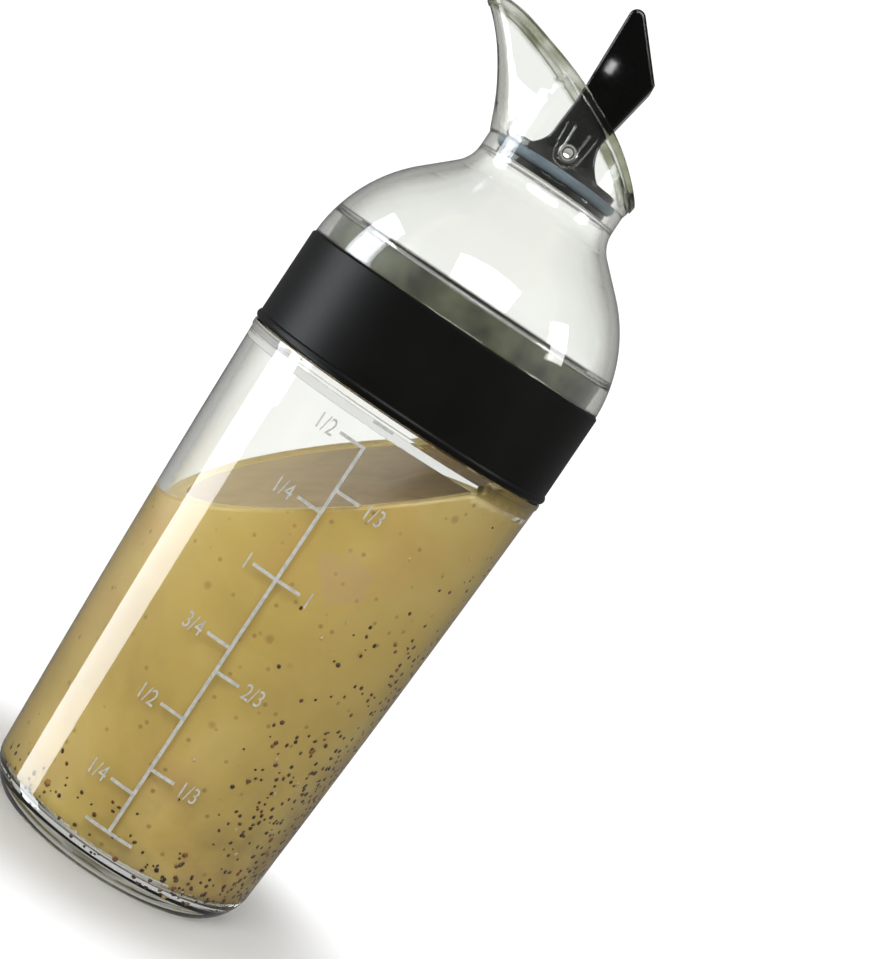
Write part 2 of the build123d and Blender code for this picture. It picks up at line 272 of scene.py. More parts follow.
def softTouchElastomer():
    # injection moulded TPE: black, dull, with a fine even grain that breaks up highlights
    material, tree = startMaterial("softTouchElastomer")
    place = addNode(tree, "ShaderNodeTexCoord").outputs["Object"]
    grain = addNode(tree, "ShaderNodeTexNoise", {
        "Vector": place, "Scale": 1 / gripFinish["grainSize"], "Detail": 2.0,
    })
    cloud = addNode(tree, "ShaderNodeTexNoise", {
        "Vector": place, "Scale": 1 / gripFinish["cloudSize"], "Detail": 3.0,
    })
    colour = ramp(tree, cloud.outputs["Fac"], [(0.35, gripFinish["colour"]), (0.75, gripFinish["worn"])])
    bump = addNode(tree, "ShaderNodeBump", {
        "Height": grain.outputs["Fac"], "Distance": gripFinish["grainDepth"], "Strength": 0.6,
    })
    body = addNode(tree, "ShaderNodeBsdfPrincipled", {
        "Base Color": colour,
        "Roughness": gripFinish["roughness"],
        "Specular IOR Level": gripFinish["gloss"],
        "Normal": bump.outputs["Normal"],
    })
    endMaterial(tree, body.outputs[0])
    return material


finishNode("grip_band", softTouchElastomer())

# glossy black lever and discs
leverFinish = {
    "colour": "#060605",
    "roughness": 0.025,
    "ior": 1.53,
    "scuffSize": 1.2 * mm,
    "edge": 0.7 * mm,
}


def mouldedBlackAbs():
    # injection moulded ABS from a polished tool: deep black with a sharp, slightly uneven gloss
    material, tree = startMaterial("mouldedBlackAbs")
    place = addNode(tree, "ShaderNodeTexCoord").outputs["Object"]
    scuff = addNode(tree, "ShaderNodeTexNoise", {
        "Vector": place, "Scale": 1 / leverFinish["scuffSize"], "Detail": 4.0,
    })
    dulled = addNode(tree, "ShaderNodeMapRange", {
        "Value": scuff.outputs["Fac"], "From Min": 0.3, "From Max": 0.8,
        "To Min": leverFinish["roughness"] * 0.85, "To Max": leverFinish["roughness"] * 1.4,
    })
    rounded = addNode(tree, "ShaderNodeBevel", {"Radius": leverFinish["edge"]}, samples=4)
    body = addNode(tree, "ShaderNodeBsdfPrincipled", {
        "Base Color": toLinear(leverFinish["colour"]),
        "Roughness": dulled.outputs["Result"],
        "IOR": leverFinish["ior"],
        "Normal": rounded.outputs["Normal"],
    })
    endMaterial(tree, body.outputs[0])
    return material


blackAbs = mouldedBlackAbs()
finishNode("stopper_lever", blackAbs)
finishNode("seal_retainer", blackAbs)

# silicone seal under the lever and gasket on the rim
siliconeFinish = {
    "sealColours": ("#53636F", "#64747F"),
    "gasketColours": ("#2A2C20", "#5E604A"),
    "mottleSize": 9.0 * mm,
    "roughness": 0.42,
    "speckSize": 0.5 * mm,
    "speckDepth": 0.01 * mm,
    "gasketClear": 0.15,        # a little see-through
}


def pressedSilicone(name, colours, clear):
    # compression moulded silicone: waxy, a little see-through, with a dull skin
    material, tree = startMaterial(name)
    place = addNode(tree, "ShaderNodeTexCoord").outputs["Object"]
    skin = addNode(tree, "ShaderNodeTexNoise", {
        "Vector": place, "Scale": 1 / siliconeFinish["speckSize"], "Detail": 2.0,
    })
    bump = addNode(tree, "ShaderNodeBump", {
        "Height": skin.outputs["Fac"], "Distance": siliconeFinish["speckDepth"], "Strength": 0.5,
    })
    mottle = addNode(tree, "ShaderNodeTexNoise", {
        "Vector": place, "Scale": 1 / siliconeFinish["mottleSize"], "Detail": 2.0,
    })
    colour = ramp(tree, mottle.outputs["Fac"], [(0.36, colours[0]), (0.64, colours[1])])
    body = addNode(tree, "ShaderNodeBsdfPrincipled", {
        "Base Color": colour,
        "Roughness": siliconeFinish["roughness"],
        "IOR": 1.41,
        "Transmission Weight": clear,
        "Normal": bump.outputs["Normal"],
    })
    endMaterial(tree, body.outputs[0])
    return material


finishNode("stopper_seal", pressedSilicone("blueGreySilicone", siliconeFinish["sealColours"], 0.0))
finishNode("rim_gasket", pressedSilicone(
    "oliveSilicone", siliconeFinish["gasketColours"], siliconeFinish["gasketClear"]))

# stainless steel pin, whose ends are turned with a groove round a dished middle
pinFinish = {
    "colour": "#D4D3CF",
    "grooveShade": "#45443F",        # painted shade in the groove
    "roughness": 0.18,
    "grindPitch": 0.12 * mm,
    "grindDepth": 0.006 * mm,
    "facets": 72,
    # radius and depth below the end, from the middle outwards; the last is the chamfer
    "profile": (
        (0.3 * mm, 0.26 * mm), (0.6 * mm, 0.2 * mm), (0.98 * mm, 0.04 * mm), (1.04 * mm, 0.2 * mm),
        (1.24 * mm, 0.2 * mm), (1.3 * mm, 0.0), (1.6 * mm, 0.0), (1.75 * mm, 0.14 * mm),
    ),
    "dishDepth": 0.3 * mm,
}
pinLow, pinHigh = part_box("pivot_pin")
pinMiddle = (pinLow[2] + pinHigh[2]) / 2
pinRadius = (pinHigh[2] - pinLow[2]) / 2


def groundStainless():
    # centreless ground stainless rod: bright, with fine rings round it and painted shade in the groove
    material, tree = startMaterial("groundStainless")
    place = addNode(tree, "ShaderNodeTexCoord").outputs["Object"]
    along = addNode(tree, "ShaderNodeSeparateXYZ", {"Vector": place})
    rings = addNode(tree, "ShaderNodeTexNoise", {
        "W": along.outputs["Y"], "Scale": 1 / pinFinish["grindPitch"], "Detail": 1.0,
    }, noise_dimensions="1D")
    bump = addNode(tree, "ShaderNodeBump", {
        "Height": rings.outputs["Fac"], "Distance": pinFinish["grindDepth"], "Strength": 0.5,
    })
    fromAxis = addNode(tree, "ShaderNodeVectorMath", {
        0: place, 1: (0, 0, -pinMiddle),
    }, operation="ADD")
    flat = addNode(tree, "ShaderNodeVectorMath", {
        0: fromAxis.outputs[0], 1: (1, 0, 1),
    }, operation="MULTIPLY")
    radius = addNode(tree, "ShaderNodeVectorMath", {0: flat.outputs[0]}, operation="LENGTH")
    shade = addNode(tree, "ShaderNodeMapRange", {
        "Value": radius.outputs["Value"], "From Min": 0.0, "From Max": pinRadius,
    })
    # a dark ring of painted shade over the groove
    colour = ramp(tree, shade.outputs["Result"], [
        (0.56, pinFinish["colour"]), (0.59, pinFinish["grooveShade"]),
        (0.71, pinFinish["grooveShade"]), (0.74, pinFinish["colour"]),
    ])
    body = addNode(tree, "ShaderNodeBsdfPrincipled", {
        "Base Color": colour,
        "Metallic": 0.8,
        "Roughness": pinFinish["roughness"],
        "Normal": bump.outputs["Normal"],
    })
    endMaterial(tree, body.outputs[0])
    return material


def buildPin():
    bm = bmesh.new()
    outline = [(r, pinLow[1] + depth) for r, depth in pinFinish["profile"]]
    outline += [(r, pinHigh[1] - depth) for r, depth in reversed(pinFinish["profile"])]
    columns = []
    for k in range(pinFinish["facets"]):
        angle = 2 * math.pi * k / pinFinish["facets"]
        c, s = math.cos(angle), math.sin(angle)
        columns.append([bm.verts.new((r * c, y, pinMiddle + r * s)) for r, y in outline])
    first = bm.verts.new((0, pinLow[1] + pinFinish["dishDepth"], pinMiddle))
    last = bm.verts.new((0, pinHigh[1] - pinFinish["dishDepth"], pinMiddle))
    for k, column in enumerate(columns):
        other = columns[(k + 1) % len(columns)]
        bm.faces.new((first, column[0], other[0]))
        bm.faces.new((last, other[-1], column[-1]))
        for j in range(len(column) - 1):
            bm.faces.new((column[j], column[j + 1], other[j + 1], other[j]))
    bmesh.ops.recalc_face_normals(bm, faces=bm.faces)
    pin = makePiece("turned_pin", bm, groundStainless(), "stopper")
    pin.data.set_sharp_from_angle(angle=math.radians(30))
    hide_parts("pivot_pin")


buildPin()
print("lid parts done")

# the container's walls, which the dressing and the printed scale follow
wall = {
    "cornerRadius": 32.1 * mm,      # outside, at the bottom corner
    "cornerHeight": 6.6 * mm,
    "topRadius": 36.9 * mm,         # outside, at the shoulder
    "topHeight": 114.0 * mm,
    "bulge": 0.35 * mm,
    "floorHeight": 3.9 * mm,        # inside
    "floorRadius": 29.8 * mm,
    "floorFillet": 5.0 * mm,
    "slopeStart": 111.4 * mm,       # inside, where it draws in to the neck
    "slopeRadius": 34.6 * mm,
    "neckHeight": 113.0 * mm,
    "neckRadius": 30.0 * mm,
}


def outerRadius(z):
    share = (z - wall["cornerHeight"]) / (wall["topHeight"] - wall["cornerHeight"])
    straight = wall["cornerRadius"] + share * (wall["topRadius"] - wall["cornerRadius"])
    return straight + wall["bulge"] * 4 * share * (1 - share)


def innerRadius(z):
    if z >= wall["neckHeight"]:
        return wall["neckRadius"]
    if z >= wall["slopeStart"]:
        share = (z - wall["slopeStart"]) / (wall["neckHeight"] - wall["slopeStart"])
        return wall["slopeRadius"] + share * (wall["neckRadius"] - wall["slopeRadius"])
    share = (z - wall["floorHeight"]) / (wall["slopeStart"] - wall["floorHeight"])
    radius = wall["floorRadius"] + share * (wall["slopeRadius"] - wall["floorRadius"])
    below = wall["floorHeight"] + wall["floorFillet"] - z
    if below > 0:
        reach = math.sqrt(max(wall["floorFillet"] ** 2 - below ** 2, 0))
        radius -= wall["floorFillet"] - reach
    return radius


# the dressing, which lies level while the bottle is held tilted to pour
dressing = {
    "surfaceHeight": 98.23 * mm,    # on the axis
    "slopeX": 0.7576,               # rise of the surface along +X and +Y
    "slopeY": 0.1864,
    "into": 0.1 * mm,               # how far it reaches into the wall, so that it looks wet
    "around": 192,
    "up": 90,
    "across": 24,
    "meniscus": 0.9 * mm,
    "meniscusWidth": 2.5 * mm,
    "colour": "#C8AF61",
    "pale": "#D6C17D",
    "deep": "#B79D54",
    "warm": "#D0A868",
    "swirlSize": 38.46154 * mm,
    "warmSize": 18.18182 * mm,
    "murkSize": 8.33333 * mm,
    "raggedSize": 4.5455 * mm,  # on the onion's outline
    "topSwirlSize": 14.28571 * mm,
    # ground spice in two grades: size, chance that a cell holds none, strength, colour
    "flecks": ((1.0 * mm, 0.6, 0.5, "#6F5226"), (1.9 * mm, 0.85, 0.45, "#94602F")),
    "sediment": "#7C6A44",      # murky where the seed has sunk
    # painted shade on the dressing's top face, paler towards -X, darker towards +X
    "topShadePale": "#AC915A",
    "topShadeDark": "#7C5D27",
    "onionColour": "#C6A583",
    "onionPieces": ((18.5, 82, 7.4), (-128, 52, 5.0), (150, 70, 5.5), (75, 44, 4.0)),
}


def surfaceHeight(x, y):
    return dressing["surfaceHeight"] + dressing["slopeX"] * x + dressing["slopeY"] * y


def emulsionMaterial():
    # oil and mustard emulsion: opaque, creamy, slightly uneven, with ground spice in it
    material, tree = startMaterial("mustardEmulsion")
    place = addNode(tree, "ShaderNodeTexCoord").outputs["Object"]
    swirl = addNode(tree, "ShaderNodeTexNoise", {
        "Vector": place, "Scale": 1 / dressing["swirlSize"], "Detail": 4.0,
        "Roughness": 0.55, "Distortion": 0.6,
    })
    base = ramp(tree, swirl.outputs["Fac"], [
        (0.3, dressing["deep"]), (0.5, dressing["colour"]), (0.72, dressing["pale"]),
    ])
    warmth = addNode(tree, "ShaderNodeTexNoise", {
        "Vector": place, "Scale": 1 / dressing["warmSize"], "Detail": 2.0,
    })
    warmShare = addNode(tree, "ShaderNodeMapRange", {
        "Value": warmth.outputs["Fac"], "From Min": 0.5, "From Max": 0.75, "To Max": 0.5,
    })
    warmed = addNode(tree, "ShaderNodeMix", {
        "Factor": warmShare.outputs["Result"], "A": base, "B": toLinear(dressing["warm"]),
    }, data_type="RGBA")
    # murk, thicker towards the low side of the tilted bottle
    down = Vector((dressing["slopeX"], dressing["slopeY"], -1.0)).normalized()
    depth = addNode(tree, "ShaderNodeVectorMath", {0: place, 1: down}, operation="DOT_PRODUCT")
    sunk = addNode(tree, "ShaderNodeMapRange", {
        "Value": depth.outputs["Value"], "From Min": -34 * mm, "From Max": 10 * mm, "To Max": 0.6,
    })
    murk = addNode(tree, "ShaderNodeTexNoise", {
        "Vector": place, "Scale": 1 / dressing["murkSize"], "Detail": 3.0,
    })
    cloudy = addNode(tree, "ShaderNodeMapRange", {
        "Value": murk.outputs["Fac"], "From Min": 0.38, "From Max": 0.68,
    })
    murky = addNode(tree, "ShaderNodeMath", {
        0: sunk.outputs["Result"], 1: cloudy.outputs["Result"],
    }, operation="MULTIPLY")
    clouded = addNode(tree, "ShaderNodeMix", {
        "Factor": murky.outputs[0], "A": warmed.outputs["Result"], "B": toLinear(dressing["sediment"]),
    }, data_type="RGBA")
    colour = clouded.outputs["Result"]
    # each voronoi cell may hold one fleck of spice near its middle
    for size, chance, strength, spice in dressing["flecks"]:
        cell = addNode(tree, "ShaderNodeTexVoronoi", {"Vector": place, "Scale": 1 / (3.0 * size)})
        inFleck = addNode(tree, "ShaderNodeMapRange", {
            "Value": cell.outputs["Distance"], "From Min": 0.08, "From Max": 0.22,
            "To Min": strength, "To Max": 0.0,
        })
        drawn = addNode(tree, "ShaderNodeSeparateColor", {"Color": cell.outputs["Color"]})
        held = addNode(tree, "ShaderNodeMath", {
            0: drawn.outputs["Red"], 1: chance,
        }, operation="GREATER_THAN")
        share = addNode(tree, "ShaderNodeMath", {
            0: inFleck.outputs["Result"], 1: held.outputs[0],
        }, operation="MULTIPLY")
        flecked = addNode(tree, "ShaderNodeMix", {
            "Factor": share.outputs[0], "A": colour, "B": toLinear(spice),
        }, data_type="RGBA")
        colour = flecked.outputs["Result"]
    # thin onion pieces that lie just under the wall, at (angle, height, radius) in mm
    ragged = addNode(tree, "ShaderNodeTexNoise", {
        "Vector": place, "Scale": 1 / dressing["raggedSize"], "Detail": 2.0,
    })
    for angle, height, radius in dressing["onionPieces"]:
        middle = Vector((
            outerRadius(height * mm) * math.sin(math.radians(angle)),
            -outerRadius(height * mm) * math.cos(math.radians(angle)), height * mm,
        ))
        away = addNode(tree, "ShaderNodeVectorMath", {0: place, 1: middle}, operation="DISTANCE")
        wobble = addNode(tree, "ShaderNodeMath", {
            0: ragged.outputs["Fac"], 1: 1.3 * radius * mm, 2: away.outputs["Value"],
        }, operation="MULTIPLY_ADD")
        share = addNode(tree, "ShaderNodeMapRange", {
            "Value": wobble.outputs[0], "From Min": 1.35 * radius * mm, "From Max": 1.55 * radius * mm,
            "To Min": 0.4, "To Max": 0.0,
        })
        patched = addNode(tree, "ShaderNodeMix", {
            "Factor": share.outputs["Result"], "A": colour, "B": toLinear(dressing["onionColour"]),
        }, data_type="RGBA")
        colour = patched.outputs["Result"]
    body = addNode(tree, "ShaderNodeBsdfPrincipled", {
        "Base Color": colour,
        "Roughness": 0.35,
        "IOR": 1.45,
    })
    endMaterial(tree, body.outputs[0])
    return material


def shadedTopMaterial():
    # the dressing's top face: painted shade, darker and browner than the emulsion and darker still towards
    # +X, wet and glossy
    material, tree = startMaterial("shadedDressingTop")
    place = addNode(tree, "ShaderNodeTexCoord").outputs["Object"]
    across = addNode(tree, "ShaderNodeSeparateXYZ", {"Vector": place})
    # painted shade, darker towards +X
    paintedShadeAcross = addNode(tree, "ShaderNodeMapRange", {
        "Value": across.outputs["X"], "From Min": -22 * mm, "From Max": 26 * mm,
    })
    swirl = addNode(tree, "ShaderNodeTexNoise", {
        "Vector": place, "Scale": 1 / dressing["topSwirlSize"], "Detail": 3.0, "Distortion": 1.2,
    })
    uneven = addNode(tree, "ShaderNodeMapRange", {
        "Value": swirl.outputs["Fac"], "From Min": 0.3, "From Max": 0.7, "To Min": -0.18, "To Max": 0.18,
    })
    mixed = addNode(tree, "ShaderNodeMath", {
        0: paintedShadeAcross.outputs["Result"], 1: uneven.outputs["Result"],
    }, operation="ADD", use_clamp=True)
    colour = ramp(tree, mixed.outputs[0], [(0.0, dressing["topShadePale"]), (1.0, dressing["topShadeDark"])])
    body = addNode(tree, "ShaderNodeBsdfPrincipled", {
        "Base Color": colour, "Roughness": 0.2, "IOR": 1.47, "Specular IOR Level": 0.12,
    })
    endMaterial(tree, body.outputs[0])
    return material


def dressingReach(angle):
    # how far from the axis the surface meets the wall
    c, s = math.cos(angle), math.sin(angle)
    reach = wall["slopeRadius"]
    for _ in range(40):
        reach = innerRadius(surfaceHeight(reach * c, reach * s)) + dressing["into"]
    return reach


def buildDressing():
    bm = bmesh.new()
    floor = wall["floorHeight"] - dressing["into"]
    columns = []
    for k in range(dressing["around"]):
        angle = 2 * math.pi * k / dressing["around"]
        c, s = math.cos(angle), math.sin(angle)
        reach = dressingReach(angle)
        top = surfaceHeight(reach * c, reach * s) + dressing["meniscus"]
        column = []
        for j in range(1, dressing["up"] + 1):
            share = j / dressing["up"]
            z = floor + (top - floor) * share ** 1.3
            r = innerRadius(z) + dressing["into"]
            column.append(bm.verts.new((r * c, r * s, z)))
        for j in range(1, dressing["across"]):
            r = reach * (1 - j / dressing["across"]) ** 1.5
            z = surfaceHeight(r * c, r * s)
            z += dressing["meniscus"] * math.exp(-(reach - r) / dressing["meniscusWidth"] * 2)
            column.append(bm.verts.new((r * c, r * s, z)))
        columns.append(column)
    bottom = bm.verts.new((0, 0, floor))
    middle = bm.verts.new((0, 0, surfaceHeight(0, 0)))
    shadedTopFaces = []
    for k, column in enumerate(columns):
        other = columns[(k + 1) % len(columns)]
        bm.faces.new((bottom, other[0], column[0]))
        shadedTopFaces.append(bm.faces.new((column[-1], other[-1], middle)))
        for j in range(len(column) - 1):
            face = bm.faces.new((column[j], other[j], other[j + 1], column[j + 1]))
            if j > dressing["up"]:
                shadedTopFaces.append(face)
    # the top faces take the painted shade
    for face in shadedTopFaces:
        face.material_index = 1
    fill = makePiece("dressing_fill", bm, emulsionMaterial(), "container")
    fill.data.materials.append(shadedTopMaterial())


buildDressing()

# whole mustard and poppy seed, which has sunk towards the low side of the tilted bottle
seeds = {
    "dark": {"count": 1500, "size": (0.3 * mm, 0.72 * mm), "colours": ("#24160A", "#664422")},
    "red": {"count": 130, "size": (0.5 * mm, 1.1 * mm), "colours": ("#7A3A1C", "#A8742F")},
    "pale": {"count": 50, "size": (0.5 * mm, 0.8 * mm), "colours": ("#BFA970", "#D2BE8A")},
    "flatness": 0.45,
    "proud": 0.12 * mm,         # how far a seed's middle lies outside the dressing's skin
    "shallowest": 6 * mm,       # no seed lies nearer to the surface
    "gather": 2.2,              # how strongly they keep to the low side
    "fullDepth": 66.6667 * mm,  # from here down they lie as dense as they get
    "floorShare": 0.5,          # a ring of them on the floor
    "floorBand": 5 * mm,
}


def seedMaterial(name, darkest, lightest):
    # seed husk: hard, a little shiny, no two the same shade
    material, tree = startMaterial(name)
    shade = addNode(tree, "ShaderNodeNewGeometry").outputs["Random Per Island"]
    colour = ramp(tree, shade, [(0.0, darkest), (1.0, lightest)])
    body = addNode(tree, "ShaderNodeBsdfPrincipled", {"Base Color": colour, "Roughness": 0.4})
    endMaterial(tree, body.outputs[0])
    return material


def buildSeeds(kind):
    dice = random.Random(7 + len(kind))
    chosen = seeds[kind]
    down = Vector((dressing["slopeX"], dressing["slopeY"], -1.0)).normalized()
    bm = bmesh.new()
    placed = 0
    while placed < chosen["count"]:
        angle = dice.uniform(0, 2 * math.pi)
        z = wall["floorHeight"] + dice.uniform(0.5, 108) * mm
        radius = innerRadius(z)
        spot = Vector((radius * math.cos(angle), radius * math.sin(angle), z))
        below = surfaceHeight(spot.x, spot.y) - z
        if below < seeds["shallowest"]:
            continue
        # seeds gather where the wall faces down and deep under the surface
        facing = Vector((math.cos(angle), math.sin(angle), 0)).dot(down)
        depth = min(1.0, below / seeds["fullDepth"])
        likely = max(0.0, facing + 0.2) ** seeds["gather"] * depth ** seeds["gather"]
        likely += seeds["floorShare"] * math.exp(-(z - wall["floorHeight"]) / seeds["floorBand"])
        if kind == "pale":
            likely += 0.1
        if dice.random() > likely:
            continue
        size = dice.uniform(*chosen["size"])
        outwards = Vector((math.cos(angle), math.sin(angle), 0))
        along = Vector((0, 0, 1)).cross(outwards)
        turn = dice.uniform(0, math.pi)
        first = along * math.cos(turn) + Vector((0, 0, 1)) * math.sin(turn)
        second = first.cross(outwards)
        squeeze = dice.uniform(0.65, 1.0)
        place = Matrix((
            first * size, second * size * squeeze, outwards * size * seeds["flatness"],
        )).transposed().to_4x4()
        lift = dressing["into"] + seeds["proud"] - size * seeds["flatness"] * 0.5
        place.translation = spot + outwards * lift
        bmesh.ops.create_icosphere(bm, subdivisions=1, radius=1.0, matrix=place)
        placed += 1
    material = seedMaterial(kind + "SeedHusk", *chosen["colours"])
    makePiece("seeds_" + kind, bm, material, "container")


for kind in ("dark", "red", "pale"):
    buildSeeds(kind)
print("dressing done")

# printed cup scale on the front of the container
scaleMarks = {
    "lineAngle": -1.05,                 # degrees from the front
    "lineWidth": 0.75 * mm,
    "inkThickness": 0.03 * mm,
    "proud": 0.02 * mm,
    "bottom": 10.8 * mm,
    "top": 107.2 * mm,
    "tickReach": 5.8 * mm,
    "leftTicks": {"1/2": 107.2, "1/4": 91.4, "1": 74.8, "3/4": 57.6, "1/2 ": 39.75, "1/4 ": 20.6},
    "rightTicks": {"1/3": 96.9, "1 ": 74.8, "2/3": 51.9, "1/3 ": 27.1},
    "fullTick": 113.0 * mm,
    "digitHeight": 3.8 * mm,
    "digitGap": 1.2 * mm,
    "fullTickReach": (-1.4 * mm, 3.4 * mm),
    "digitWidth": 0.72,                 # against Blender's own font
    "inkDark": "#B4B4AE",
    "inkPale": "#CBCBC6",
    "patchSize": 1.11111 * mm,
}


def inkMaterial():
    # screen printed pale grey ink: matt and thin enough to look slightly patchy
    material, tree = startMaterial("screenPrintInk")
    place = addNode(tree, "ShaderNodeTexCoord").outputs["Object"]
    patchy = addNode(tree, "ShaderNodeTexNoise", {
        "Vector": place, "Scale": 1 / scaleMarks["patchSize"], "Detail": 2.0,
    })
    colour = ramp(tree, patchy.outputs["Fac"], [
        (0.35, scaleMarks["inkDark"]), (0.65, scaleMarks["inkPale"]),
    ])
    body = addNode(tree, "ShaderNodeBsdfPrincipled", {"Base Color": colour, "Roughness": 0.6})
    endMaterial(tree, body.outputs[0])
    return material


def ontoWall(across, z, lift):
    # across is measured round the wall from the scale's line
    radius = outerRadius(z) + scaleMarks["proud"] + lift
    angle = math.radians(scaleMarks["lineAngle"]) + across / outerRadius(z)
    return Vector((radius * math.sin(angle), -radius * math.cos(angle), z))


def inkStrip(bm, acrossFrom, acrossTo, zFrom, zTo):
    stepsAcross = max(1, round(abs(acrossTo - acrossFrom) / (0.5 * mm)))
    stepsUp = max(1, round(abs(zTo - zFrom) / (2 * mm)))
    layers = []
    for lift in (0, scaleMarks["inkThickness"]):
        layers.append([[
            bm.verts.new(ontoWall(
                acrossFrom + (acrossTo - acrossFrom) * i / stepsAcross,
                zFrom + (zTo - zFrom) * j / stepsUp, lift))
            for j in range(stepsUp + 1)] for i in range(stepsAcross + 1)])
    inner, outer = layers
    for i in range(stepsAcross):
        for j in range(stepsUp):
            bm.faces.new((outer[i][j], outer[i + 1][j], outer[i + 1][j + 1], outer[i][j + 1]))
            bm.faces.new((inner[i][j], inner[i][j + 1], inner[i + 1][j + 1], inner[i + 1][j]))
    for i in range(stepsAcross):
        bm.faces.new((inner[i][0], inner[i + 1][0], outer[i + 1][0], outer[i][0]))
        bm.faces.new((inner[i][-1], outer[i][-1], outer[i + 1][-1], inner[i + 1][-1]))
    for j in range(stepsUp):
        bm.faces.new((inner[0][j], outer[0][j], outer[0][j + 1], inner[0][j + 1]))
        bm.faces.new((inner[-1][j], inner[-1][j + 1], outer[-1][j + 1], outer[-1][j]))


def inkText(bm, words, left, baseline):
    curve = bpy.data.curves.new("digits", "FONT")
    curve.body = words
    curve.size = scaleMarks["digitHeight"] / 0.72      # its digits are 0.72 of the font's size
    curve.resolution_u = 4
    curve.extrude = scaleMarks["inkThickness"] / 2
    holder = bpy.data.objects.new("digits", curve)
    bpy.context.scene.collection.objects.link(holder)
    bpy.context.view_layer.update()
    flat = bpy.data.meshes.new_from_object(holder.evaluated_get(bpy.context.evaluated_depsgraph_get()))
    narrow = scaleMarks["digitWidth"]
    width = max(v.co.x for v in flat.vertices) * narrow
    start = left if left > 0 else left - width
    for v in flat.vertices:
        lift = v.co.z + scaleMarks["inkThickness"] / 2
        v.co = ontoWall(start + v.co.x * narrow, baseline + v.co.y, lift)
    bm.from_mesh(flat)
    bpy.data.objects.remove(holder)
    bpy.data.meshes.remove(flat)


def buildScale():
    bm = bmesh.new()
    half = scaleMarks["lineWidth"] / 2
    reach = scaleMarks["tickReach"]
    gap = scaleMarks["digitGap"]
    inkStrip(bm, -half, half, scaleMarks["bottom"] + half, scaleMarks["top"] + half)
    inkStrip(bm, -reach, reach, scaleMarks["bottom"] - half, scaleMarks["bottom"] + half)
    inkStrip(bm, *scaleMarks["fullTickReach"], scaleMarks["fullTick"] - half, scaleMarks["fullTick"] + half)
    for words, height in scaleMarks["leftTicks"].items():
        z = height * mm
        inkStrip(bm, -reach, -half, z - half, z + half)
        inkText(bm, words.strip(), -reach - gap, z - scaleMarks["digitHeight"] / 2)
    for words, height in scaleMarks["rightTicks"].items():
        z = height * mm
        inkStrip(bm, half, reach, z - half, z + half)
        inkText(bm, words.strip(), reach + gap, z - scaleMarks["digitHeight"] / 2)
    makePiece("printed_scale", bm, inkMaterial(), "container", smooth=False)


buildScale()
print("printed scale done")

# floor, light and camera
stage = {
    "floorSize": 3.0,           # metres
    "floorColour": "#EFEFED",
    "fadeFrom": 0.036,          # from the axis, where the paper turns into the white backdrop
    "fadeTo": 0.08,
    "backdrop": "#FFFFFF",
    "plainLevel": 0.5,          # what matt surfaces are lit by
    "mirroredLevel": 0.2,       # the dim side of the room, as gloss shows it
    "withinLevel": 0.62,        # what has been mirrored inside clear plastic
    "footLevel": 0.9,           # how much of the paper's shade goes, seen through clear plastic
    "throughLevel": 1.13,       # the backdrop is lit a little past white
    "behindLevel": 0.35,        # how much darker the room is on the camera's side
    "ceilingLevel": 0.3,        # how much darker the room is overhead
}


def backdropRays(tree):
    # which rays see the studio, and how bright it is for them: white for the camera and
    # straight through clear plastic, dim for whatever has been mirrored on its way
    path = addNode(tree, "ShaderNodeLightPath")
    direct = addNode(tree, "ShaderNodeMath", {
        0: path.outputs["Is Camera Ray"], 1: path.outputs["Is Transmission Ray"],
    }, operation="MAXIMUM")
    anyRay = addNode(tree, "ShaderNodeMath", {
        0: direct.outputs[0], 1: path.outputs["Is Glossy Ray"],
    }, operation="MAXIMUM")
    notBounced = addNode(tree, "ShaderNodeMath", {
        0: path.outputs["Diffuse Depth"], 1: 0.5,
    }, operation="LESS_THAN")
    seen = addNode(tree, "ShaderNodeMath", {
        0: anyRay.outputs[0], 1: notBounced.outputs[0],
    }, operation="MULTIPLY")
    within = addNode(tree, "ShaderNodeMapRange", {
        "Value": path.outputs["Glossy Depth"],
        "To Min": stage["throughLevel"], "To Max": stage["withinLevel"],
    })
    outside = addNode(tree, "ShaderNodeMath", {
        0: path.outputs["Is Glossy Ray"], 1: path.outputs["Is Transmission Ray"],
    }, operation="SUBTRACT", use_clamp=True)
    brightness = addNode(tree, "ShaderNodeMix", {
        "Factor": outside.outputs[0], "A": within.outputs["Result"], "B": stage["mirroredLevel"],
    })
    return seen.outputs[0], brightness.outputs[0]


